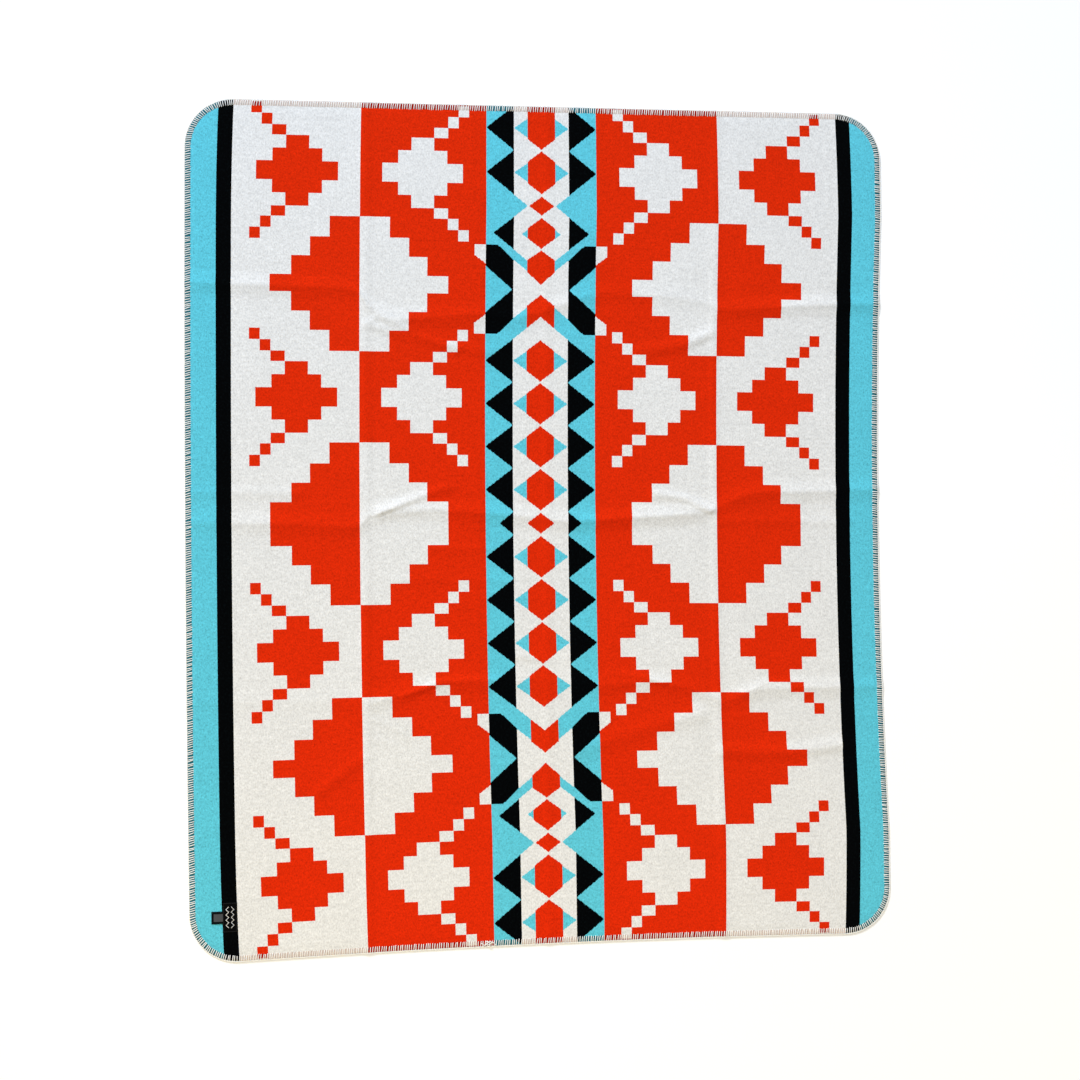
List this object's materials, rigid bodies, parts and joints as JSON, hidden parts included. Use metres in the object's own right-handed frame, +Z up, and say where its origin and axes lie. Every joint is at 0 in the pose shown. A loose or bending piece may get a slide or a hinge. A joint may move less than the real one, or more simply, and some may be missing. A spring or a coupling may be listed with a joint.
{
  "type": "alpaca blanket",
  "caption": "Woven blanket with rounded corners and a stitched edge, laid flat, with the soft ridges of its old folds.",
  "frame": {"origin": "on the surface that the blanket lies on, under the middle of its box", "axes": "+Z up off the surface, +Y along the blanket's length to the top of its pattern, +X across it to the right"},
  "size_m": [1.658, 1.9884, 0.008],
  "materials": {
    "cloth": "brushed jacquard weave in cream, orange red, turquoise and black",
    "edge_thread": "cream overlock thread",
    "label": "matt woven tape",
    "tag": "satin printed tape"
  },
  "bodies": {
    "root": {"blanket_cloth": "cloth", "edge_stitch": "edge_thread", "sewn_label": "label", "care_tag": "tag"}
  },
  "joints": []
}
